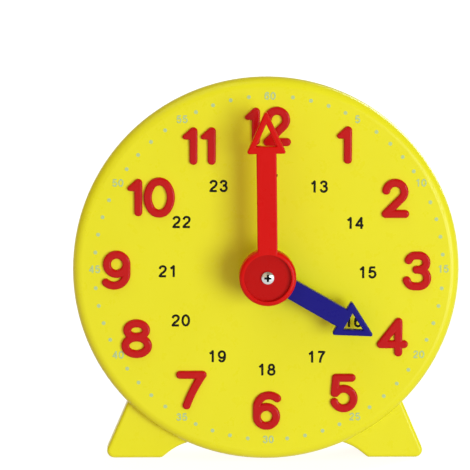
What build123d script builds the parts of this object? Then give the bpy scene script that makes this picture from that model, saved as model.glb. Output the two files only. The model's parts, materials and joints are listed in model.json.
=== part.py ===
from build123d import *
import os
from math import acos, cos, pi, radians, sin, tan

os.makedirs("parts", exist_ok=True)

# Case: two moulded shells that meet on a plane behind the dial
dial_radius = 50.0
dial_edge_radius = 2.4
dial_rim_depth = 5.0
dial_thickness = 2.2
body_inset = 2.0
back_inset = 2.6
wall = 1.8
joint_depth = 9.0
case_depth = 20.5
back_edge_radius = 3.5
lip_height = 1.6
lip_clearance = 0.15
lip_thickness = 1.4
lip_root = 3.0
back_panel_radius = 31.0
back_panel_depth = 0.6

# Feet: they stand behind the dial rim and splay outwards
ground_gap = 0.4
foot_setback = 4.0
foot_back_inset = 1.2
foot_toe_share = 0.846
foot_heel_share = 0.54
foot_arch_share = 0.28
foot_toe_angle = 47.5
foot_heel_angle = 22.3
foot_toe_radius = 1.9
foot_heel_radius = 1.2
foot_crotch_radius = 2.0
foot_edge_radius = 0.9

# Raised hour numerals
hour_count = 12
numeral_inset = 11.7
numeral_height = 10.2
numeral_stroke = 2.1
numeral_relief = 0.9
numeral_edge_radius = 0.5
numeral_flag_radius = 0.65
numeral_spacing = 5.4
numeral_ones_spacing = 4.7

# Hands
hand_thickness = 2.2
hand_width = 5.1
hand_edge_radius = 0.35
head_width = 10.2
head_corner_radius = 0.45
head_base_margin = 1.9
head_side_margin = 1.5
hour_hand_angle = 120.0
hour_head_length = 9.7
hour_hand_length = 31.8
hour_hand_top = 7.4
hour_hub_radius = 5.4
hour_hub_cap = 0.8
hour_cap_slack = 0.2
minute_hand_angle = -0.9
minute_head_length = 11.2
minute_hand_length = 43.25
minute_hand_top = 11.3
minute_hub_radius = 7.3
minute_hub_edge_radius = 0.9
minute_hub_floor = 0.7
minute_recess_radius = 6.1
minute_recess_depth = 1.2

# Gear train between the hands, twelve to one
train_margin = 1.97
pressure_angle = 20.0
addendum_share = 1.0
dedendum_share = 1.25
gear_backlash = 0.16
minute_pinion_teeth = 15
idler_wheel_teeth = 45
idler_pinion_teeth = 12
hour_wheel_teeth = 48
minute_stage_shift_share = 0.15
hour_stage_shift_share = 0.3
hour_wheel_width = 3.0
idler_wheel_width = 2.5
layer_gap = 0.6
idler_direction = -90.0
web_hole_count = 5
web_hole_radius = 3.4

# Shafts, bearings and play
running_clearance = 0.05
press_clearance = 0.02
end_play = 0.3
collar_height = 0.6
collar_radius = 6.0
bush_length = 2.4
pipe_radius = 4.0
pipe_flat = 3.3
arbor_radius = 2.5
arbor_flat = 1.8
arbor_shoulder_radius = 3.6
arbor_shoulder_length = 1.0
pivot_radius = 2.0
bearing_wall = 3.0
bush_wall = 2.2
idler_pin_radius = 1.5
idler_pin_sink = 0.8
idler_pin_chamfer = 0.3
idler_seat_length = 5.0
pin_boss_wall = 2.0
washer_radius = 4.4
washer_thickness = 0.3
washer_rise = 0.5
washer_gap = 0.05
washer_bore_slack = 0.2

# Screws
case_screw_count = 4
case_screw_inset = 10.5
case_screw_first_angle = 45.0
case_screw_radius = 1.3
case_screw_length = 10.0
case_screw_head_radius = 2.4
case_screw_head_height = 1.7
case_screw_seat_depth = 14.5
case_screw_slack = 0.2
post_wall = 1.7
well_wall = 1.2
hand_screw_radius = 1.0
hand_screw_length = 7.0
hand_screw_head_radius = 1.6
hand_screw_head_height = 1.0
hand_screw_slack = 0.1
hole_run_out = 0.5
head_dome_share = 0.45
recess_width_share = 0.36
recess_span_share = 1.15
recess_depth_share = 0.55

# Heights in front of the dial face and depths behind it
axis_height = dial_radius + ground_gap
face_y = (minute_hand_top - case_depth) / 2
hour_hub_base = collar_height + end_play
pipe_end = hour_hand_top - hour_hub_cap
minute_hub_base = hour_hand_top + end_play
minute_recess_floor = minute_hand_top - minute_recess_depth
arbor_end = minute_recess_floor - minute_hub_floor
bush_depth = dial_thickness + bush_length
hour_wheel_front = bush_depth + end_play
hour_wheel_back = hour_wheel_front + hour_wheel_width
idler_front = bush_depth
idler_wheel_front = hour_wheel_back + layer_gap
idler_back = idler_wheel_front + idler_wheel_width
minute_pinion_front = hour_wheel_back + end_play
minute_pinion_back = idler_back + end_play
arbor_shoulder_back = minute_pinion_back + arbor_shoulder_length
washer_seat = arbor_shoulder_back + washer_gap + washer_rise + washer_thickness
back_wall_inside = case_depth - wall
pivot_end = back_wall_inside - end_play
idler_pin_front = dial_thickness - idler_pin_sink
idler_seat_front = idler_back + end_play
idler_pin_back = idler_seat_front + idler_seat_length

# Radii and places that follow from the sizes above. The gear train fills the space inside the lip
body_radius = dial_radius - body_inset
back_radius = dial_radius - back_inset
cavity_radius = body_radius - wall
foot_toe_x = dial_radius * foot_toe_share
foot_heel_x = dial_radius * foot_heel_share
foot_arch_radius = dial_radius * foot_arch_share
numeral_ring_radius = dial_radius - numeral_inset
case_screw_ring = dial_radius - case_screw_inset
pipe_bore_radius = arbor_radius + running_clearance
bush_bore_radius = pipe_radius + running_clearance
bearing_bore_radius = pivot_radius + running_clearance
idler_bore_radius = idler_pin_radius + running_clearance
lip_bore_radius = cavity_radius - lip_clearance - lip_thickness
train_teeth = (hour_wheel_teeth + idler_pinion_teeth + idler_wheel_teeth) / 2
train_modules = train_teeth + addendum_share - minute_stage_shift_share
gear_module = (lip_bore_radius - train_margin) / train_modules
gear_distance = gear_module * (hour_wheel_teeth + idler_pinion_teeth) / 2
idler_place = (gear_distance * cos(radians(idler_direction)), gear_distance * sin(radians(idler_direction)))
pin_hole_radius = idler_pin_radius + press_clearance
pin_boss_radius = idler_pin_radius + pin_boss_wall
washer_bore_radius = pivot_radius + washer_bore_slack
web_hole_ring = (pipe_radius + gear_module * (idler_wheel_teeth / 2 - dedendum_share)) / 2
post_radius = case_screw_radius + post_wall
post_hole_end = case_screw_seat_depth - case_screw_length - hole_run_out
well_radius = case_screw_head_radius + case_screw_slack
hand_screw_hole_end = minute_recess_floor - hand_screw_length - hole_run_out
clock_axis = Axis((0, face_y, axis_height), (0, 1, 0))


# Plane parallel to the dial at a height in front of it: x to the right, y up,
# turned clockwise as seen from the front
def facing(height, turn=0.0):
    turn = radians(turn)
    return Plane(
        origin=(0, face_y - height, axis_height),
        x_dir=(cos(turn), 0, -sin(turn)),
        z_dir=(0, -1, 0),
    )


# Half section through the clock axis: x outwards, y into the case
def half_section():
    return Plane(origin=(0, face_y, axis_height), x_dir=(1, 0, 0), z_dir=(0, 0, 1))


# Plane parallel to the back at a depth behind the dial face, looking out of the back
def backing(depth):
    return Plane(origin=(0, face_y + depth, axis_height), x_dir=(-1, 0, 0), z_dir=(0, 1, 0))


def polar(radius, angle):
    return (radius * cos(angle), radius * sin(angle))


# Point on a circle round the dial's centre, counted from straight down
def below(radius, angle, side):
    return (side * radius * sin(radians(angle)), -radius * cos(radians(angle)))


def save(piece, name):
    piece.part.label = name
    export_step(piece.part, f"parts/{name}.step")


# Outline of a shell: a round body with two splayed feet blended into it. The feet's outer sides are
# drawn in by a step, and the whole outline can be inset for the hollow
def shell_outline(radius, foot_step, inset=0.0):
    with BuildSketch() as outline:
        Circle(radius)
        for side in (1, -1):
            ankle_x, ankle_y = below(cavity_radius, foot_toe_angle, side)
            with BuildLine():
                Polyline(
                    (side * (foot_toe_x - foot_step), -axis_height),
                    (ankle_x - side * foot_step, ankle_y),
                    (0, 0),
                    below(cavity_radius, foot_heel_angle, side),
                    (side * foot_heel_x, -axis_height),
                    close=True,
                )
            make_face()
        split_x = foot_heel_x + wall
        ground_y = -axis_height + ground_gap / 2

        def corners(on_ground, outside):
            low = outline.vertices().filter_by(lambda corner: corner.Y < -wall)
            low = low.filter_by(lambda corner: (corner.Y < ground_y) == on_ground)
            return low.filter_by(lambda corner: (abs(corner.X) > split_x) == outside)

        fillet(corners(False, True), foot_crotch_radius)
        fillet(corners(False, False), foot_arch_radius)
        fillet(corners(True, True), foot_toe_radius)
        if inset:
            offset(amount=-inset, mode=Mode.REPLACE)
        else:
            fillet(corners(True, False), foot_heel_radius)
    return outline.sketch


# Angle of the first tooth that puts a gap of the idler on the line towards the clock axis
def idler_gap(teeth):
    return idler_direction + 180 + 180 / teeth


# Spur gear with involute flanks, each drawn as one arc through three of its points
def gear_profile(teeth, shift_share, first_tooth):
    flank_angle = radians(pressure_angle)
    pitch_radius = gear_module * teeth / 2
    base_radius = pitch_radius * cos(flank_angle)
    tip_radius = pitch_radius + gear_module * (addendum_share + shift_share)
    root_radius = pitch_radius - gear_module * (dedendum_share - shift_share)
    thickness = gear_module * (pi / 2 + 2 * shift_share * tan(flank_angle)) - gear_backlash / 2
    start_radius = max(base_radius, root_radius)
    middle_radius = (start_radius + tip_radius) / 2
    step = 2 * pi / teeth

    def half_angle(radius):
        roll = acos(min(1.0, base_radius / radius))
        involute = tan(flank_angle) - flank_angle - tan(roll) + roll
        return thickness / (2 * pitch_radius) + involute

    with BuildSketch() as gear:
        with BuildLine():
            for tooth in range(teeth):
                centre = radians(first_tooth) + step * tooth
                for side in (-1, 1):
                    start = polar(start_radius, centre + side * half_angle(start_radius))
                    middle = polar(middle_radius, centre + side * half_angle(middle_radius))
                    tip = polar(tip_radius, centre + side * half_angle(tip_radius))
                    ThreePointArc(start, middle, tip)
                    if start_radius > root_radius:
                        Line(polar(root_radius, centre + side * half_angle(start_radius)), start)
                ThreePointArc(
                    polar(tip_radius, centre - half_angle(tip_radius)),
                    polar(tip_radius, centre),
                    polar(tip_radius, centre + half_angle(tip_radius)),
                )
                ThreePointArc(
                    polar(root_radius, centre + half_angle(start_radius)),
                    polar(root_radius, centre + step / 2),
                    polar(root_radius, centre + step - half_angle(start_radius)),
                )
        make_face()
    return gear.sketch


# Round bar with one flat, for the drive between a shaft and a hand
def flatted_round(radius, flat):
    with BuildSketch() as section:
        Circle(radius)
        with Locations((0, (flat - radius) / 2)):
            Rectangle(2 * radius, flat + radius, mode=Mode.INTERSECT)
    return section.sketch


# Bar and pierced arrowhead of a hand that points up, starting at a distance from the axis
def hand_outline(start, head_length, length):
    head_base = length - head_length
    slant = ((head_width / 2) ** 2 + head_length**2) ** 0.5
    hole_length = head_length - head_base_margin - head_side_margin * slant / (head_width / 2)
    hole_half = head_width / 2 * hole_length / head_length
    hole_base = head_base + head_base_margin
    with BuildSketch() as outline:
        with BuildLine():
            Polyline((-head_width / 2, head_base), (head_width / 2, head_base), (0, length), close=True)
        make_face()
        fillet(outline.vertices(), head_corner_radius)
        bar_end = head_base + head_base_margin / 2
        with Locations((0, (start + bar_end) / 2)):
            Rectangle(hand_width, bar_end - start)
        with BuildLine():
            Polyline((-hole_half, hole_base), (hole_half, hole_base), (0, hole_base + hole_length), close=True)
        make_face(mode=Mode.SUBTRACT)
    return outline.sketch


# Strokes of the digits, as shares of the height between their stroke centre lines. A stroke is a ring
# (centre, half width, half height) or a path of steps: from (point), to (point), arc (centre, radius,
# start angle, sweep) and bow (point on the way, end)
digit_shares = {
    "0": [
        [("from", (0, 0.515)), ("bow", (0.1405, 0.48), (0.2483, 0.3833)), ("bow", (0.366, 0), (0.2483, -0.3833)),
         ("bow", (0.1405, -0.48), (0, -0.515))],
        [("from", (0, 0.515)), ("bow", (-0.1405, 0.48), (-0.2483, 0.3833)),
         ("bow", (-0.366, 0), (-0.2483, -0.3833)), ("bow", (-0.1405, -0.48), (0, -0.515))],
    ],
    "1": [[("from", (0, -0.47)), ("to", (0, 0.47))]],
    "2": [[("arc", (0, 0.21), 0.29, 172, -217), ("to", (-0.3, -0.5)), ("to", (0.32, -0.5))]],
    "3": [
        [("arc", (-0.06, 0.27), 0.23, 160, -70), ("to", (0.06, 0.5)), ("arc", (0.06, 0.27), 0.23, 90, -180),
         ("to", (-0.02, 0.04))],
        [("from", (-0.02, 0.04)), ("to", (0.05, 0.04)), ("arc", (0.05, -0.23), 0.27, 90, -180),
         ("to", (-0.07, -0.5)), ("arc", (-0.07, -0.23), 0.27, -90, -75)],
    ],
    "4": [
        [("from", (0.2, 0.5)), ("to", (0.2, -0.5))],
        [("from", (0.2, 0.5)), ("to", (-0.36, -0.23)), ("to", (0.38, -0.23))],
    ],
    "5": [
        [("from", (0.25, 0.5)), ("to", (-0.25, 0.5)), ("to", (-0.29, 0))],
        [("arc", (0, -0.18), 0.32, 145, -305)],
    ],
    "6": [
        [("ring", (0, -0.19), 0.31, 0.31)],
        [("from", (-0.31, -0.19)), ("to", (-0.31, 0.11)), ("arc", (0.08, 0.11), 0.39, 180, -132)],
    ],
    "7": [[("from", (-0.36, 0.5)), ("to", (0.36, 0.5)), ("bow", (0.05, -0.03), (-0.15, -0.5))]],
    "8": [[("ring", (0, 0.28), 0.3, 0.22)], [("ring", (0, -0.23), 0.36, 0.27)]],
    "9": [
        [("ring", (0, 0.19), 0.31, 0.31)],
        [("from", (0.31, 0.19)), ("to", (0.31, -0.11)), ("arc", (-0.08, -0.11), 0.39, 0, -132)],
    ],
}
digit_flag_shares = [(0, 0.47), (-0.27, 0.29), (0, 0.27)]
numeral_nudge_shares = {
    1: (0.16, -0.03),
    2: (-0.005, -0.015),
    3: (0.07, 0),
    4: (-0.045, 0.17),
    5: (0.11, 0.095),
    6: (0.02, 0.145),
    7: (-0.02, 0.18),
    8: (-0.035, 0.14),
    9: (-0.035, 0.03),
    10: (0.275, 0.01),
    11: (0.255, -0.055),
    12: (-0.02, -0.06),
}


# Closed oval stroke, its outside and its inside each drawn as two half ellipses
def digit_ring(centre, half_width, half_height):
    with BuildSketch() as ring:
        for side, mode in ((1, Mode.ADD), (-1, Mode.SUBTRACT)):
            grow = side * numeral_stroke / 2
            with BuildLine():
                for start in (0, 180):
                    EllipticalCenterArc(centre, half_width + grow, half_height + grow, start, arc_size=180)
            make_face(mode=mode)
    return ring.sketch


# One digit drawn about its own centre, with round stroke ends
def digit_face(digit):
    rise = numeral_height - numeral_stroke

    def scaled(point):
        return (point[0] * rise, point[1] * rise)

    with BuildSketch() as face:
        for stroke in digit_shares[digit]:
            if stroke[0][0] == "ring":
                add(digit_ring(scaled(stroke[0][1]), stroke[0][2] * rise, stroke[0][3] * rise))
                continue
            with BuildLine(mode=Mode.PRIVATE) as path:
                end = None
                for step, *values in stroke:
                    if step == "from":
                        end = scaled(values[0])
                    elif step == "to":
                        end = Line(end, scaled(values[0])) @ 1
                    elif step == "arc":
                        end = CenterArc(scaled(values[0]), values[1] * rise, values[2], values[3]) @ 1
                    else:
                        end = ThreePointArc(end, scaled(values[0]), scaled(values[1])) @ 1
            SlotArc(path.wire(), numeral_stroke)
        if digit == "1":
            top, *flag_points = [scaled(point) for point in digit_flag_shares]
            with BuildSketch(mode=Mode.PRIVATE) as flag:
                with Locations(top):
                    Circle(numeral_stroke / 2)
                with Locations(*flag_points):
                    Circle(numeral_flag_radius)
                make_hull()
            add(flag.sketch)
    return face.sketch


# Pan-head screw with a cross recess: its seat is at zero and its head points up
def pan_screw(radius, length, head_radius, head_height):
    dome = head_height * head_dome_share
    with BuildPart() as screw:
        with BuildSketch(Plane.XZ):
            with BuildLine():
                Polyline(
                    (0, head_height),
                    (0, -length),
                    (radius / 2, -length),
                    (radius, -length + radius),
                    (radius, 0),
                    (head_radius, 0),
                    (head_radius, head_height - dome),
                )
                ThreePointArc(
                    (head_radius, head_height - dome),
                    (head_radius / 2, head_height - dome / 4),
                    (0, head_height),
                )
            make_face()
        revolve(axis=Axis.Z)
        with BuildSketch(Plane.XY.offset(head_height)):
            Rectangle(head_radius * recess_width_share, head_radius * recess_span_share)
            Rectangle(head_radius * recess_span_share, head_radius * recess_width_share)
        extrude(amount=-head_height * recess_depth_share, mode=Mode.SUBTRACT)
    return screw.part


# Front shell: dial disc, body wall and the front halves of the feet
with BuildPart() as front_shell:
    with BuildSketch(facing(-joint_depth)):
        add(shell_outline(body_radius, 0))
    extrude(amount=joint_depth - foot_setback)
    fillet(front_shell.faces().sort_by(Axis.Y)[0].edges(), foot_edge_radius)
    with BuildSketch(facing(-dial_rim_depth)):
        Circle(dial_radius)
    extrude(amount=dial_rim_depth)
    fillet(front_shell.faces().sort_by(Axis.Y)[0].edges(), dial_edge_radius)
    # Hollow behind the dial and in the feet
    with BuildSketch(facing(-joint_depth)):
        add(shell_outline(body_radius, 0, wall))
    extrude(amount=joint_depth - foot_setback - wall, mode=Mode.SUBTRACT)
    with BuildSketch(facing(-foot_setback - wall)):
        Circle(cavity_radius)
    extrude(amount=foot_setback + wall - dial_thickness, mode=Mode.SUBTRACT)
    # Bush for the hour pipe, with a collar under the hour hand
    with BuildSketch(facing(-bush_depth)):
        Circle(bush_bore_radius + bush_wall)
    extrude(amount=bush_length)
    with BuildSketch(facing(0)):
        Circle(collar_radius)
    extrude(amount=collar_height)
    with BuildSketch(facing(-bush_depth)):
        Circle(bush_bore_radius)
    extrude(amount=bush_depth + collar_height, mode=Mode.SUBTRACT)
    # Seat for the idler pin
    with BuildSketch(facing(end_play - idler_front)):
        with Locations(idler_place):
            Circle(pin_boss_radius)
    extrude(amount=idler_front - end_play - dial_thickness)
    with BuildSketch(facing(end_play - idler_front)):
        with Locations(idler_place):
            Circle(pin_hole_radius)
    extrude(amount=idler_front - end_play - idler_pin_front, mode=Mode.SUBTRACT)
    # Posts that take the case screws
    with BuildSketch(facing(-joint_depth)):
        with PolarLocations(case_screw_ring, case_screw_count, case_screw_first_angle):
            Circle(post_radius)
    extrude(amount=joint_depth - dial_thickness)
    with BuildSketch(facing(-joint_depth)):
        with PolarLocations(case_screw_ring, case_screw_count, case_screw_first_angle):
            Circle(case_screw_radius + press_clearance)
    extrude(amount=joint_depth - post_hole_end, mode=Mode.SUBTRACT)
save(front_shell, "front_shell")

# Back shell: back wall, lip that locates it in the front shell, bearings and the back halves of the feet
with BuildPart() as back_shell:
    with BuildSketch(facing(-case_depth)):
        add(shell_outline(back_radius, foot_back_inset))
    extrude(amount=case_depth - joint_depth)
    fillet(back_shell.faces().sort_by(Axis.Y)[-1].edges(), back_edge_radius)
    with BuildSketch(facing(-back_wall_inside)):
        add(shell_outline(back_radius, foot_back_inset, wall))
    extrude(amount=back_wall_inside - joint_depth, mode=Mode.SUBTRACT)
    with BuildSketch(facing(-joint_depth - lip_root)):
        Circle(cavity_radius - lip_clearance)
        Circle(lip_bore_radius, mode=Mode.SUBTRACT)
    extrude(amount=lip_root + lip_height)
    # Shallow round panel on the outside
    with BuildSketch(facing(-case_depth)):
        Circle(back_panel_radius)
    extrude(amount=back_panel_depth, mode=Mode.SUBTRACT)
    # Rear bearing of the minute arbor
    with BuildSketch(facing(-back_wall_inside)):
        Circle(bearing_bore_radius + bearing_wall)
    extrude(amount=back_wall_inside - washer_seat)
    with BuildSketch(facing(-back_wall_inside)):
        Circle(bearing_bore_radius)
    extrude(amount=back_wall_inside - washer_seat, mode=Mode.SUBTRACT)
    # Rear seat of the idler pin
    with BuildSketch(facing(-back_wall_inside)):
        with Locations(idler_place):
            Circle(pin_boss_radius)
    extrude(amount=back_wall_inside - idler_seat_front)
    with BuildSketch(facing(-idler_pin_back)):
        with Locations(idler_place):
            Circle(pin_hole_radius)
    extrude(amount=idler_pin_back - idler_seat_front, mode=Mode.SUBTRACT)
    # Screw wells
    with BuildSketch(facing(-back_wall_inside)):
        with PolarLocations(case_screw_ring, case_screw_count, case_screw_first_angle):
            Circle(well_radius + well_wall)
    extrude(amount=back_wall_inside - joint_depth)
    with BuildSketch(facing(-case_depth)):
        with PolarLocations(case_screw_ring, case_screw_count, case_screw_first_angle):
            Circle(well_radius)
    extrude(amount=case_depth - case_screw_seat_depth, mode=Mode.SUBTRACT)
    with BuildSketch(facing(-case_screw_seat_depth)):
        with PolarLocations(case_screw_ring, case_screw_count, case_screw_first_angle):
            Circle(case_screw_radius + case_screw_slack)
    extrude(amount=case_screw_seat_depth - joint_depth, mode=Mode.SUBTRACT)
save(back_shell, "back_shell")

with BuildPart() as case_screws:
    with Locations(backing(case_screw_seat_depth)):
        with PolarLocations(case_screw_ring, case_screw_count, case_screw_first_angle):
            add(pan_screw(case_screw_radius, case_screw_length, case_screw_head_radius, case_screw_head_height))
save(case_screws, "case_screws")

# Hour numerals, each standing on the dial
for hour in range(1, hour_count + 1):
    hour_turn = radians(360 / hour_count * hour)
    nudge = numeral_nudge_shares[hour]
    middle_x = numeral_ring_radius * sin(hour_turn) + nudge[0] * numeral_height
    middle_y = numeral_ring_radius * cos(hour_turn) + nudge[1] * numeral_height
    digits = str(hour)
    spacing = numeral_ones_spacing if digits == "11" else numeral_spacing
    with BuildPart() as numeral:
        for place, digit in enumerate(digits):
            digit_x = middle_x + (place - (len(digits) - 1) / 2) * spacing
            with BuildSketch(facing(0)):
                with Locations((digit_x, middle_y)):
                    add(digit_face(digit))
            extrude(amount=numeral_relief)
        fillet(numeral.faces().group_by(Axis.Y)[0].edges(), numeral_edge_radius)
    save(numeral, f"numeral_{hour:02d}")

# Hour wheel with the pipe that carries the hour hand
with BuildPart() as hour_wheel:
    with BuildSketch(facing(-hour_wheel_back)):
        add(gear_profile(hour_wheel_teeth, -hour_stage_shift_share, idler_direction))
        with PolarLocations(web_hole_ring, web_hole_count):
            Circle(web_hole_radius, mode=Mode.SUBTRACT)
    extrude(amount=hour_wheel_width)
    with BuildSketch(facing(-hour_wheel_front)):
        Circle(pipe_radius)
    extrude(amount=hour_wheel_front + hour_hub_base)
    with BuildSketch(facing(hour_hub_base, hour_hand_angle)):
        add(flatted_round(pipe_radius, pipe_flat))
    extrude(amount=pipe_end - hour_hub_base)
    with BuildSketch(facing(-hour_wheel_back)):
        Circle(pipe_bore_radius)
    extrude(amount=hour_wheel_back + pipe_end, mode=Mode.SUBTRACT)
save(hour_wheel, "hour_wheel")

# Minute arbor: pinion, shoulder, rear pivot and the flatted end in the minute hand
with BuildPart() as minute_arbor:
    with BuildSketch(facing(-minute_pinion_back)):
        add(gear_profile(minute_pinion_teeth, minute_stage_shift_share, idler_direction))
    extrude(amount=minute_pinion_back - minute_pinion_front)
    with BuildSketch(facing(-arbor_shoulder_back)):
        Circle(arbor_shoulder_radius)
    extrude(amount=arbor_shoulder_length)
    with BuildSketch(facing(-pivot_end)):
        Circle(pivot_radius)
    extrude(amount=pivot_end - arbor_shoulder_back)
    with BuildSketch(facing(-minute_pinion_front)):
        Circle(arbor_radius)
    extrude(amount=minute_pinion_front + minute_hub_base)
    with BuildSketch(facing(minute_hub_base, minute_hand_angle)):
        add(flatted_round(arbor_radius, arbor_flat))
    extrude(amount=arbor_end - minute_hub_base)
    with BuildSketch(facing(hand_screw_hole_end)):
        Circle(hand_screw_radius + press_clearance)
    extrude(amount=arbor_end - hand_screw_hole_end, mode=Mode.SUBTRACT)
save(minute_arbor, "minute_arbor")

# Idler gear below the clock axis: its pinion drives the hour wheel, its wheel follows the minute pinion
with BuildPart() as idler_gear:
    with BuildSketch(facing(-idler_wheel_front)):
        with Locations(idler_place):
            add(gear_profile(idler_pinion_teeth, hour_stage_shift_share, idler_gap(idler_pinion_teeth)))
    extrude(amount=idler_wheel_front - idler_front)
    with BuildSketch(facing(-idler_back)):
        with Locations(idler_place):
            add(gear_profile(idler_wheel_teeth, -minute_stage_shift_share, idler_gap(idler_wheel_teeth)))
            with PolarLocations(web_hole_ring, web_hole_count):
                Circle(web_hole_radius, mode=Mode.SUBTRACT)
    extrude(amount=idler_wheel_width)
    with BuildSketch(facing(-idler_back)):
        with Locations(idler_place):
            Circle(idler_bore_radius)
    extrude(amount=idler_back - idler_front, mode=Mode.SUBTRACT)
save(idler_gear, "idler_gear")

with BuildPart() as idler_pin:
    with BuildSketch(facing(-idler_pin_back)):
        with Locations(idler_place):
            Circle(idler_pin_radius)
    extrude(amount=idler_pin_back - idler_pin_front)
    chamfer(idler_pin.edges().filter_by(GeomType.CIRCLE), idler_pin_chamfer)
save(idler_pin, "idler_pin")

# Dished spring washer that presses the arbor's shoulder forward
with BuildPart() as friction_washer:
    with BuildSketch(half_section()):
        with BuildLine():
            Polyline(
                (washer_radius, washer_seat),
                (washer_radius, washer_seat - washer_thickness),
                (washer_bore_radius, washer_seat - washer_thickness - washer_rise),
                (washer_bore_radius, washer_seat - washer_rise),
                close=True,
            )
        make_face()
    revolve(axis=clock_axis)
save(friction_washer, "friction_washer")

# Hour hand: a tall hub over the pipe, with the bar level with its top
with BuildPart() as hour_hand:
    with BuildSketch(facing(hour_hub_base)):
        Circle(hour_hub_radius)
    extrude(amount=hour_hand_top - hour_hub_base)
    with BuildSketch(facing(hour_hand_top - hand_thickness, hour_hand_angle)):
        add(hand_outline(0, hour_head_length, hour_hand_length))
    extrude(amount=hand_thickness)
    fillet(hour_hand.faces().sort_by(Axis.Y)[0].edges(), hand_edge_radius)
    with BuildSketch(facing(hour_hub_base, hour_hand_angle)):
        add(flatted_round(pipe_radius + press_clearance, pipe_flat + press_clearance))
    extrude(amount=pipe_end - hour_hub_base, mode=Mode.SUBTRACT)
    with BuildSketch(facing(pipe_end)):
        Circle(pipe_bore_radius + hour_cap_slack)
    extrude(amount=hour_hub_cap, mode=Mode.SUBTRACT)
save(hour_hand, "hour_hand")

# Minute hand: a dished hub, with the bar running over its rim to the edge of the dish
with BuildPart() as minute_bar:
    with BuildSketch(facing(minute_hand_top - hand_thickness, minute_hand_angle)):
        add(hand_outline(0, minute_head_length, minute_hand_length))
    extrude(amount=hand_thickness)
    fillet(minute_bar.faces().sort_by(Axis.Y)[0].edges(), hand_edge_radius)
with BuildPart() as minute_hand:
    with BuildSketch(facing(minute_hub_base)):
        Circle(minute_hub_radius)
    extrude(amount=minute_hand_top - minute_hub_base)
    fillet(minute_hand.faces().sort_by(Axis.Y)[0].edges(), minute_hub_edge_radius)
    add(minute_bar.part)
    with BuildSketch(facing(minute_recess_floor)):
        Circle(minute_recess_radius)
    extrude(amount=minute_recess_depth, mode=Mode.SUBTRACT)
    with BuildSketch(facing(minute_hub_base, minute_hand_angle)):
        add(flatted_round(arbor_radius + press_clearance, arbor_flat + press_clearance))
    extrude(amount=arbor_end - minute_hub_base, mode=Mode.SUBTRACT)
    with BuildSketch(facing(arbor_end)):
        Circle(hand_screw_radius + hand_screw_slack)
    extrude(amount=minute_hub_floor, mode=Mode.SUBTRACT)
save(minute_hand, "minute_hand")

with BuildPart() as hand_screw:
    with Locations(facing(minute_recess_floor)):
        add(pan_screw(hand_screw_radius, hand_screw_length, hand_screw_head_radius, hand_screw_head_height))
save(hand_screw, "hand_screw")
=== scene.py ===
import json
import math

import bpy
from mathutils import Euler, Matrix, Vector


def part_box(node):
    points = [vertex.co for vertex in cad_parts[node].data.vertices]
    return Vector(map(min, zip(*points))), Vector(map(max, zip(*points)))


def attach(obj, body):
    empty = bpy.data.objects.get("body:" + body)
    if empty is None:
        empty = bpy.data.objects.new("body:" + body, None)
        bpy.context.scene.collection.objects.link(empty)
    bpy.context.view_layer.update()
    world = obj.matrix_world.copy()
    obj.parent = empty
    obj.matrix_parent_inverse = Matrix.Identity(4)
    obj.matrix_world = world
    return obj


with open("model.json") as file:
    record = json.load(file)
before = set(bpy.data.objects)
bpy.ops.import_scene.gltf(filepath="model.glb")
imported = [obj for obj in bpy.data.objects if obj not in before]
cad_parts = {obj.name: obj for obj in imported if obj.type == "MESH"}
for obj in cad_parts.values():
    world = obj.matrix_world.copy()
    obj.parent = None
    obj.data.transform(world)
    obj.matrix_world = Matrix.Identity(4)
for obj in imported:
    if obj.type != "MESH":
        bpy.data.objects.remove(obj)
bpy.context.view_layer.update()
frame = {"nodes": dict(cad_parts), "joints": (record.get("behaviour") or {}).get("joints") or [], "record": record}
mm = 0.001
nodes = frame["nodes"]
joints = {joint["name"]: joint for joint in frame["joints"]}

# the clock axis and the dial face, read from the frame: the numerals stand on the face
axisPoint = Vector(joints["minute_turn"]["pos_m"])
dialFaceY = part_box("numeral_12")[1].y
dialCentre = Vector((axisPoint.x, dialFaceY, axisPoint.z))
print("frame loaded:", len(nodes), "nodes, dial face at", round(dialFaceY / mm, 2), "mm")


# helpers: colours, nodes, selection

def linear(hexColour):
    channels = [int(hexColour[i:i + 2], 16) / 255 for i in (1, 3, 5)]
    return [c / 12.92 if c <= 0.04045 else ((c + 0.055) / 1.055) ** 2.4 for c in channels] + [1.0]  # sRGB curve


def perMm(sizeInMm):
    return 1 / (sizeInMm * mm)  # texture scale whose features are about this size


def addNode(tree, kind, settings=None, inputs=None):
    node = tree.nodes.new(kind)
    for key, value in (settings or {}).items():
        setattr(node, key, value)
    for key, value in (inputs or {}).items():
        if isinstance(value, bpy.types.NodeSocket):
            tree.links.new(value, node.inputs[key])
        else:
            node.inputs[key].default_value = value
    return node


def newMaterial(name):
    material = bpy.data.materials.new(name)
    material.use_nodes = True
    tree = material.node_tree
    tree.nodes.clear()
    coords = addNode(tree, "ShaderNodeTexCoord").outputs["Object"]
    return material, tree, coords


def finishMaterial(tree, shader):
    addNode(tree, "ShaderNodeOutputMaterial", inputs={"Surface": shader.outputs[0]})


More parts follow.
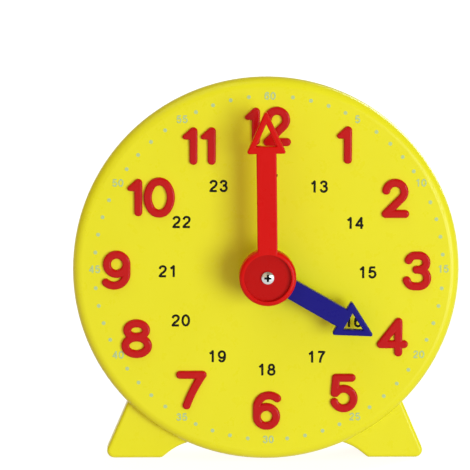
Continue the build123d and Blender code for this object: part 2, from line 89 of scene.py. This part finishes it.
def sunkNearAxis(tree, coords, shadedHollow):
    # mask for painted shade: 1 within a radius of the clock axis and behind a depth, 0 elsewhere
    offAxis = addNode(tree, "ShaderNodeVectorMath", {"operation": "SUBTRACT"}, {0: coords, 1: axisPoint})
    flat = addNode(tree, "ShaderNodeVectorMath", {"operation": "MULTIPLY"}, {
        0: offAxis.outputs[0], 1: (1, 0, 1)})
    reach = addNode(tree, "ShaderNodeVectorMath", {"operation": "LENGTH"}, {0: flat.outputs[0]})
    inside = addNode(tree, "ShaderNodeMapRange", inputs={
        "Value": reach.outputs["Value"], "From Min": shadedHollow["radiusMm"] * mm,
        "From Max": (shadedHollow["radiusMm"] + shadedHollow["fadeMm"]) * mm, "To Min": 1.0, "To Max": 0.0})
    depth = addNode(tree, "ShaderNodeSeparateXYZ", inputs={"Vector": coords})
    behind = addNode(tree, "ShaderNodeMapRange", inputs={
        "Value": depth.outputs["Y"], "From Min": shadedHollow["frontY"],
        "From Max": shadedHollow["frontY"] + shadedHollow["fadeMm"] * mm})
    mask = addNode(tree, "ShaderNodeMath", {"operation": "MULTIPLY"}, {
        0: inside.outputs["Result"], 1: behind.outputs["Result"]})
    return mask.outputs["Value"]


def onlySelect(*objects):
    bpy.ops.object.select_all(action="DESELECT")
    for obj in objects:
        obj.select_set(True)
    bpy.context.view_layer.objects.active = objects[0]


def dress(obj, material):
    obj.data.materials.clear()
    obj.data.materials.append(material)


# ABS, injection moulded in a polished tool: solid pigment with a faint cloudiness, a slight
# orange-peel waviness and a satin gloss that handling has scuffed a little unevenly

def mouldedAbs(look):
    material, tree, coords = newMaterial(look["name"])
    clouds = addNode(tree, "ShaderNodeTexNoise", inputs=dict(look["clouds"], Vector=coords))
    pigment = addNode(tree, "ShaderNodeMix", {"data_type": "RGBA"}, {
        "Factor": clouds.outputs["Fac"], "A": linear(look["pigmentDeep"]), "B": linear(look["pigmentLight"])})
    plastic = pigment.outputs["Result"]
    if "dish" in look:  # painted shade: the floor of the hub's dish is painted a deeper red, standing in for the shade in the recess
        plastic = addNode(tree, "ShaderNodeMix", {"data_type": "RGBA"}, {
            "Factor": sunkNearAxis(tree, coords, look["dish"]), "A": plastic,
            "B": linear(look["dish"]["pigment"])}).outputs["Result"]
    scuffs = addNode(tree, "ShaderNodeTexNoise", inputs=dict(look["scuffs"], Vector=coords))
    gloss = addNode(tree, "ShaderNodeMapRange", inputs={
        "Value": scuffs.outputs["Fac"], "From Min": look["scuffReach"][0], "From Max": look["scuffReach"][1],
        "To Min": look["roughness"] - look["scuffSpread"], "To Max": look["roughness"] + look["scuffSpread"]})
    peel = addNode(tree, "ShaderNodeTexNoise", inputs=dict(look["peel"], Vector=coords))
    waves = addNode(tree, "ShaderNodeBump", inputs={
        "Height": peel.outputs["Fac"], "Strength": look["peelStrength"], "Distance": look["peelDepthMm"] * mm})
    shader = addNode(tree, "ShaderNodeBsdfPrincipled", inputs={
        "Base Color": plastic, "Roughness": gloss.outputs["Result"], "Normal": waves.outputs["Normal"],
        "IOR": look["ior"], "Specular IOR Level": look["specular"]})
    finishMaterial(tree, shader)
    return material


absLook = {"clouds": {"Scale": perMm(17.0), "Detail": 3.0, "Roughness": 0.55},
           "scuffs": {"Scale": perMm(3.5), "Detail": 6.0, "Roughness": 0.7},
           "scuffReach": (0.3, 0.75), "scuffSpread": 0.05, "roughness": 0.3,
           "peel": {"Scale": perMm(1.8), "Detail": 2.0}, "peelStrength": 0.12, "peelDepthMm": 0.02,
           "ior": 1.53, "specular": 0.2}
yellowAbs = mouldedAbs(dict(absLook, name="yellowAbsMoulded", pigmentDeep="#E9DF1C", pigmentLight="#EFE626"))
redNumeralAbs = mouldedAbs(dict(absLook, name="redAbsHotStamped", pigmentDeep="#BC0A0E", pigmentLight="#C81014",
                                roughness=0.18, specular=0.15))
# painted shade for the hub's dish: its pigment entry is the deeper red that stands in for the shade in the recess
hubDishPaintedShade = {"radiusMm": 5.95, "rimMm": 0.9, "fadeMm": 0.2, "pigment": "#BD0606"}
hubDishPaintedShade["frontY"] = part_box("minute_hand")[0].y + hubDishPaintedShade["rimMm"] * mm
redHandAbs = mouldedAbs(dict(absLook, name="redAbsMoulded", pigmentDeep="#D00806", pigmentLight="#DA0C0A",
                             specular=0.1, dish=hubDishPaintedShade))
blueHandAbs = mouldedAbs(dict(absLook, name="blueAbsMoulded", pigmentDeep="#140F7E", pigmentLight="#1A148A",
                              specular=0.1))


# acetal, injection moulded: natural white, slippery and slightly waxy, without a hard highlight

def naturalAcetal(look):
    material, tree, coords = newMaterial("naturalAcetalMoulded")
    flow = addNode(tree, "ShaderNodeTexNoise", inputs=dict(look["flow"], Vector=coords))
    tone = addNode(tree, "ShaderNodeMix", {"data_type": "RGBA"}, {
        "Factor": flow.outputs["Fac"], "A": linear(look["deep"]), "B": linear(look["light"])})
    shader = addNode(tree, "ShaderNodeBsdfPrincipled", inputs={
        "Base Color": tone.outputs["Result"], "Roughness": look["roughness"], "IOR": look["ior"]})
    finishMaterial(tree, shader)
    return material


acetal = naturalAcetal({"flow": {"Scale": perMm(6.0), "Detail": 2.0}, "deep": "#E2E1D8", "light": "#EFEEE6",
                        "roughness": 0.45, "ior": 1.48})


# steel, cold headed and bright zinc plated: a cool grey metal with a fine grain and a soft sparkle

def platedSteel(look):
    material, tree, coords = newMaterial(look["name"])
    grain = addNode(tree, "ShaderNodeTexNoise", inputs=dict(look["grain"], Vector=coords))
    tone = addNode(tree, "ShaderNodeMix", {"data_type": "RGBA"}, {
        "Factor": grain.outputs["Fac"], "A": linear(look["deep"]), "B": linear(look["light"])})
    gloss = addNode(tree, "ShaderNodeMapRange", inputs={
        "Value": grain.outputs["Fac"], "To Min": look["glossReach"][0], "To Max": look["glossReach"][1]})
    pits = addNode(tree, "ShaderNodeBump", inputs={
        "Height": grain.outputs["Fac"], "Strength": look["pitStrength"], "Distance": look["pitMm"] * mm})
    metal = tone.outputs["Result"]
    if "recess" in look:  # painted shade: the cross recess is painted near black, standing in for the shade inside it
        metal = addNode(tree, "ShaderNodeMix", {"data_type": "RGBA"}, {
            "Factor": sunkNearAxis(tree, coords, look["recess"]), "A": metal,
            "B": linear(look["recess"]["shadeColour"])}).outputs["Result"]
    shader = addNode(tree, "ShaderNodeBsdfPrincipled", inputs={
        "Base Color": metal, "Metallic": 1.0, "Roughness": gloss.outputs["Result"],
        "Normal": pits.outputs["Normal"]})
    finishMaterial(tree, shader)
    return material


zincLook = {"name": "zincPlatedSteel", "grain": {"Scale": perMm(0.25), "Detail": 4.0, "Roughness": 0.6},
            "deep": "#B9BCC0", "light": "#D4D6D8", "glossReach": (0.18, 0.36), "pitMm": 0.01, "pitStrength": 0.15}
zincSteel = platedSteel(zincLook)
# painted shade in the hand screw's cross recess
screwRecessShade = {"radiusMm": 1.05, "crownMm": 0.17, "fadeMm": 0.06, "shadeColour": "#0B0B0C"}
screwRecessShade["frontY"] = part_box("hand_screw")[0].y + screwRecessShade["crownMm"] * mm
handScrewSteel = platedSteel(dict(zincLook, name="zincPlatedSteelShadedRecess", recess=screwRecessShade))
springSteel = platedSteel(dict(zincLook, name="springSteelRolled", deep="#77787C", light="#8C8D91",
                               grain=dict(zincLook["grain"], Scale=perMm(0.4)), glossReach=(0.26, 0.44),
                               pitMm=0.008))


# pad-printing ink: a thin matt film, slightly uneven where the pad lifted

def padInk(look):
    material, tree, coords = newMaterial(look["name"])
    lift = addNode(tree, "ShaderNodeTexNoise", inputs=dict(look["lift"], Vector=coords))
    tone = addNode(tree, "ShaderNodeMix", {"data_type": "RGBA"}, {
        "Factor": lift.outputs["Fac"], "A": linear(look["thin"]), "B": linear(look["full"])})
    shader = addNode(tree, "ShaderNodeBsdfPrincipled", inputs={
        "Base Color": tone.outputs["Result"], "Roughness": look["roughness"], "IOR": look["ior"],
        "Specular IOR Level": look["specular"]})
    finishMaterial(tree, shader)
    return material


blackInk = padInk({"name": "blackPadInk", "lift": {"Scale": perMm(0.5), "Detail": 3.0}, "thin": "#0F0C0A",
                   "full": "#050505", "roughness": 0.5, "ior": 1.5, "specular": 0.12})
paleInk = padInk({"name": "paleBlueGreenPadInk", "lift": {"Scale": perMm(0.6), "Detail": 3.0}, "thin": "#BCD08E",
                  "full": "#B4CEA8", "roughness": 0.5, "ior": 1.5, "specular": 0.2})
print("materials made:", len(bpy.data.materials))


# finishes of the CAD nodes, by the record's slots

slotFinish = {"case_yellow": yellowAbs, "numeral_red": redNumeralAbs, "hand_red": redHandAbs,
              "hand_blue": blueHandAbs, "gear_white": acetal, "steel": zincSteel, "spring_steel": springSteel}
for subpart in frame["record"]["subparts"]:
    dress(nodes[subpart["node"]], slotFinish[subpart["material_slot"]])
dress(nodes["hand_screw"], handScrewSteel)


# printed figures and dots on the dial: thin films of ink, modelled as closed solids a little proud of the face

inkFilm = {"proudMm": 0.03, "sunkMm": 0.035, "beadRounds": 2, "curveSteps": 5, "mergeM": 1e-7}
hourDegrees = 30
minuteDegrees = 6


def onDial(radiusMm, angle, shiftMm):
    turn = math.radians(angle)  # clockwise from twelve, as seen from the front
    return Vector((axisPoint.x + (radiusMm * math.sin(turn) + shiftMm[0]) * mm,
                   dialFaceY,
                   axisPoint.z + (radiusMm * math.cos(turn) + shiftMm[1]) * mm))


def setMeshPlace(obj, place):
    obj.rotation_euler = (math.pi / 2, 0, 0)  # a flat figure stands up to face the viewer
    obj.location = place
    onlySelect(obj)
    bpy.ops.object.transform_apply(location=True, rotation=True, scale=True)


# centre lines of the printed digits, for a digit one unit high: ovals, and paths that are smooth but at a corner
ovalKnots = 8
corner = True
figureStrokes = {
    "0": [("oval", 0, 0, 0.24, 0.43)],
    "1": [("path", [(-0.17, 0.23), (-0.03, 0.32), (0.07, 0.46, corner), (0.07, -0.5, corner)])],
    "2": [("path", [(-0.23, 0.2), (-0.15, 0.37), (0, 0.43), (0.17, 0.36), (0.22, 0.19), (0.12, -0.02),
                    (-0.1, -0.22), (-0.24, -0.43, corner), (0.25, -0.43, corner)])],
    "3": [("path", [(-0.22, 0.23), (-0.14, 0.38), (0, 0.43), (0.15, 0.36), (0.19, 0.22), (0.11, 0.08),
                    (-0.05, 0.04, corner)]),
          ("path", [(-0.05, 0.04, corner), (0.14, 0), (0.23, -0.19), (0.15, -0.37), (0, -0.43), (-0.15, -0.38),
                    (-0.235, -0.21)])],
    "4": [("path", [(0.12, -0.5, corner), (0.12, 0.46, corner), (-0.27, -0.2, corner), (0.28, -0.2, corner)])],
    "5": [("path", [(0.22, 0.43, corner), (-0.15, 0.43, corner), (-0.21, 0, corner), (-0.04, 0.1), (0.14, 0.05),
                    (0.235, -0.14), (0.16, -0.35), (0, -0.43), (-0.15, -0.38), (-0.235, -0.22)])],
    "6": [("oval", 0, -0.15, 0.225, 0.28),
          ("path", [(-0.225, -0.15), (-0.21, 0.14), (-0.13, 0.35), (0.01, 0.43), (0.14, 0.38), (0.21, 0.25)])],
    "7": [("path", [(-0.24, 0.43, corner), (0.24, 0.43, corner), (0.07, 0.15), (-0.05, -0.2), (-0.09, -0.5)])],
    "8": [("oval", 0, 0.22, 0.185, 0.21), ("oval", 0, -0.2, 0.23, 0.23)],
    "9": [("oval", 0, 0.15, 0.225, 0.28),
          ("path", [(0.225, 0.15), (0.21, -0.14), (0.13, -0.35), (-0.01, -0.43), (-0.14, -0.38),
                    (-0.21, -0.25)])],
}


def ovalPoints(middleX, middleY, halfWidth, halfHeight):
    turns = [math.tau / ovalKnots * step for step in range(ovalKnots)]
    return [(middleX + halfWidth * math.sin(turn), middleY + halfHeight * math.cos(turn)) for turn in turns]


def besideCorners(points, step):
    # a knot close to each side of a corner keeps the bead at its full width between corners
    knots = []
    for here, (x, y, *bend) in enumerate(points):
        inner = bend and 0 < here < len(points) - 1
        ways = [(points[here + side][0] - x, points[here + side][1] - y) for side in (-1, 1)] if inner else []
        near = [(x + step * wayX / math.hypot(wayX, wayY), y + step * wayY / math.hypot(wayX, wayY))
                for wayX, wayY in ways]
        knots += near[:1] + [points[here]] + near[1:]
    return knots


def drawStroke(curve, stroke, columnMm, look):
    kind, *values = stroke
    points = ovalPoints(*values) if kind == "oval" else besideCorners(values[0], look["cornerShare"])
    spline = curve.splines.new("BEZIER")
    spline.use_cyclic_u = kind == "oval"
    spline.bezier_points.add(len(points) - 1)
    for knot, (x, y, *bend) in zip(spline.bezier_points, points):
        knot.co = Vector((columnMm + x * look["widthShare"] * look["heightMm"], y * look["heightMm"], 0)) * mm
        knot.handle_left_type = knot.handle_right_type = "VECTOR" if bend else "AUTO"


def printedFigure(text, look, place):
    bpy.ops.object.select_all(action="DESELECT")
    bpy.ops.curve.primitive_bezier_curve_add()
    figure = bpy.context.object
    figure.data.splines.clear()
    for column, digit in enumerate(text):
        for stroke in figureStrokes[digit]:
            drawStroke(figure.data, stroke, (column - (len(text) - 1) / 2) * look["pitchMm"], look)
    # a round bead along each stroke, pressed flat into the face
    figure.data.bevel_depth = look["strokeMm"] / 2 * mm
    figure.data.bevel_resolution = inkFilm["beadRounds"]
    figure.data.resolution_u = inkFilm["curveSteps"]
    figure.data.use_fill_caps = True
    bpy.ops.object.convert(target="MESH")
    figure = bpy.context.object
    figure.data.transform(Matrix.Diagonal((1, 1, 2 * inkFilm["proudMm"] / look["strokeMm"], 1)))
    setMeshPlace(figure, place)
    return figure


def thickenFilm(obj):
    depth = (inkFilm["proudMm"] + inkFilm["sunkMm"]) * mm
    onlySelect(obj)
    bpy.ops.object.mode_set(mode="EDIT")
    bpy.ops.mesh.select_all(action="SELECT")
    bpy.ops.mesh.remove_doubles(threshold=inkFilm["mergeM"])
    bpy.ops.mesh.extrude_region_move(TRANSFORM_OT_translate={"value": (0, 0, depth)})
    bpy.ops.mesh.select_all(action="SELECT")
    bpy.ops.mesh.normals_make_consistent(inside=False)
    bpy.ops.object.mode_set(mode="OBJECT")
    obj.data.transform(Matrix.Translation((0, 0, -inkFilm["sunkMm"] * mm)))


def joinAs(name, objects, material):
    onlySelect(*objects)
    bpy.ops.object.join()
    joined = bpy.context.object
    joined.name = name
    joined.data.name = name
    onlySelect(joined)
    bpy.ops.object.transform_apply(location=True, rotation=True, scale=True)
    dress(joined, material)
    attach(joined, "clock_case")


# the whole ring of day hours sits a little off the clock axis and turned
dayPrint = {"ringMm": 25.8, "shiftMm": (0.31, -0.22), "turn": 0.4, "heightMm": 3.05, "widthShare": 1.12,
            "pitchMm": 2.6, "strokeMm": 0.6, "cornerShare": 0.08, "hours": range(13, 25)}
dayFigures = [printedFigure(str(hour), dayPrint,
                            onDial(dayPrint["ringMm"], hourDegrees * (hour - 12) + dayPrint["turn"],
                                   dayPrint["shiftMm"]))
              for hour in dayPrint["hours"]]
joinAs("printed_day_hours", dayFigures, blackInk)
print("day hours printed")

minutePrint = {"ringMm": 45.05, "shiftMm": (0.7, 0.5), "heightMm": 1.95, "widthShare": 1.05, "pitchMm": 1.55,
               "strokeMm": 0.38, "cornerShare": 0.08, "figureEvery": 5, "dotMm": 1.0, "dotSides": 24,
               "dotCrown": 0.25, "dotTop": 0.9}
# the dots between two figures drift off the true minutes by these degrees, one value for each five minutes
minuteDrift = [1.5, 1.5, 1.2, 0.5, 0.2, -0.3, 0.8, 0.5, -0.3, -0.4, -0.6, -0.9]


def printedDot():
    bpy.ops.object.select_all(action="DESELECT")
    bpy.ops.mesh.primitive_circle_add(vertices=minutePrint["dotSides"], radius=minutePrint["dotMm"] / 2 * mm,
                                      fill_type="NGON")
    dot = bpy.context.object
    thickenFilm(dot)
    # the film thins towards its rim
    bpy.ops.object.mode_set(mode="EDIT")
    bpy.ops.mesh.select_all(action="DESELECT")
    bpy.ops.object.mode_set(mode="OBJECT")
    for face in dot.data.polygons:
        face.select = face.normal.z > minutePrint["dotTop"]
    bpy.ops.object.mode_set(mode="EDIT")
    bpy.ops.mesh.select_mode(type="FACE")
    bpy.ops.mesh.inset(thickness=minutePrint["dotMm"] * minutePrint["dotCrown"] * mm)
    bpy.ops.transform.translate(value=(0, 0, inkFilm["proudMm"] * mm / 2))
    bpy.ops.object.mode_set(mode="OBJECT")
    return dot


firstDot = printedDot()
minuteDots = []
for minute in range(1, 60):
    if minute % minutePrint["figureEvery"] == 0:
        continue
    onlySelect(firstDot)
    bpy.ops.object.duplicate(linked=False)
    dot = bpy.context.object
    drift = minuteDrift[minute // minutePrint["figureEvery"]]
    setMeshPlace(dot, onDial(minutePrint["ringMm"], minuteDegrees * minute + drift, minutePrint["shiftMm"]))
    minuteDots.append(dot)
onlySelect(firstDot)
bpy.ops.object.delete()
joinAs("printed_minute_dots", minuteDots, paleInk)
minuteFigures = [printedFigure(str(minute), minutePrint,
                               onDial(minutePrint["ringMm"], minuteDegrees * minute, minutePrint["shiftMm"]))
                 for minute in range(minutePrint["figureEvery"], 61, minutePrint["figureEvery"])]
joinAs("printed_minutes", minuteFigures, paleInk)
print("minute ring printed:", len(minuteDots), "dots")


# stage: a white table of opal acrylic, lit evenly from below, under soft studio light. It lets the
# softboxes' light through and throws none back on the clock. The air's light is a little warm, so
# that shadows on the dial are, and the softboxes are a little cool to balance it on the lit face

stage = {"sizeM": 6.0, "floorWhite": "#989898", "floorRoughness": 0.8, "glowWhite": "#FFFFFF", "floorGlow": 0.87,
         "airTint": "#FFE4B4", "airStrength": 0.40}
bpy.ops.object.select_all(action="DESELECT")
bpy.ops.mesh.primitive_plane_add(size=stage["sizeM"], location=(0, 0, 0))
floor = bpy.context.object
floor.name = "studio_floor"
opalAcrylic, floorTree = newMaterial("opalTableAcrylic")[:2]
finishMaterial(floorTree, addNode(floorTree, "ShaderNodeBsdfPrincipled", inputs={
    "Base Color": linear(stage["floorWhite"]), "Roughness": stage["floorRoughness"],
    "Emission Color": linear(stage["glowWhite"]), "Emission Strength": stage["floorGlow"]}))
dress(floor, opalAcrylic)
floor.visible_diffuse = False
floor.visible_shadow = False

world = bpy.data.worlds.new("studioAir")
bpy.context.scene.world = world
world.use_nodes = True
air = world.node_tree.nodes["Background"]
air.inputs["Color"].default_value = linear(stage["airTint"])
air.inputs["Strength"].default_value = stage["airStrength"]


def softbox(name, box):
    bpy.ops.object.select_all(action="DESELECT")
    place = Vector(box["place"])
    bpy.ops.object.light_add(type="AREA", location=place)
    lamp = bpy.context.object
    lamp.name = name
    lamp.data.shape = "RECTANGLE"
    lamp.data.size, lamp.data.size_y = box["size"]
    lamp.data.energy = box["watts"]
    lamp.data.color = linear(box["tint"])[:3]
    lamp.rotation_euler = (dialCentre - place).to_track_quat("-Z", "Y").to_euler()


softbox("keySoftbox", {"place": (0.70, -1.08, -0.03), "size": (0.65, 0.65), "watts": 12.3, "tint": "#EBFFFF"})
softbox("fillSoftbox", {"place": (-0.7, -1.3, 0.5), "size": (1.0, 1.0), "watts": 2.0, "tint": "#FFE9C4"})
softbox("topSoftbox", {"place": (-0.45, -0.2, 1.1), "size": (1.2, 0.8), "watts": 4.0, "tint": "#E6FFFF"})
softbox("rearSoftbox", {"place": (0.8, 1.1, 0.6), "size": (0.8, 0.8), "watts": 13.0, "tint": "#EBFFFF"})
print("stage lit")


# camera: a long lens a little above the dial, aimed so that the dial sits right of the middle

camera = {"elevation": 10.0, "azimuth": -2.1, "roll": 0.3, "distanceM": 0.87, "pxPerMm": 3.87,
          "framePx": 470, "dialCentrePx": (266.4, 271.0), "sensorMm": 36.0, "clipM": (0.01, 50.0)}
focalPx = camera["distanceM"] / mm * camera["pxPerMm"]
bpy.ops.object.select_all(action="DESELECT")
bpy.ops.object.camera_add()
cam = bpy.context.object
cam.data.sensor_width = camera["sensorMm"]
cam.data.lens = focalPx * camera["sensorMm"] / camera["framePx"]
azimuth, elevation = math.radians(camera["azimuth"]), math.radians(camera["elevation"])
outward = Vector((math.sin(azimuth) * math.cos(elevation), -math.cos(azimuth) * math.cos(elevation),
                  math.sin(elevation)))
aimX = math.atan((camera["dialCentrePx"][0] - camera["framePx"] / 2) / focalPx)
aimY = math.atan((camera["dialCentrePx"][1] - camera["framePx"] / 2) / focalPx)
cam.location = dialCentre + outward * camera["distanceM"]
turn = Euler((aimY, aimX, math.radians(camera["roll"]))).to_matrix()
cam.rotation_euler = ((-outward).to_track_quat("-Z", "Y").to_matrix() @ turn).to_euler()
cam.data.clip_start, cam.data.clip_end = camera["clipM"]
bpy.context.scene.camera = cam
bpy.context.scene.view_settings.view_transform = "Standard"
print("camera at", [round(value, 3) for value in cam.location], "lens", round(cam.data.lens, 1))
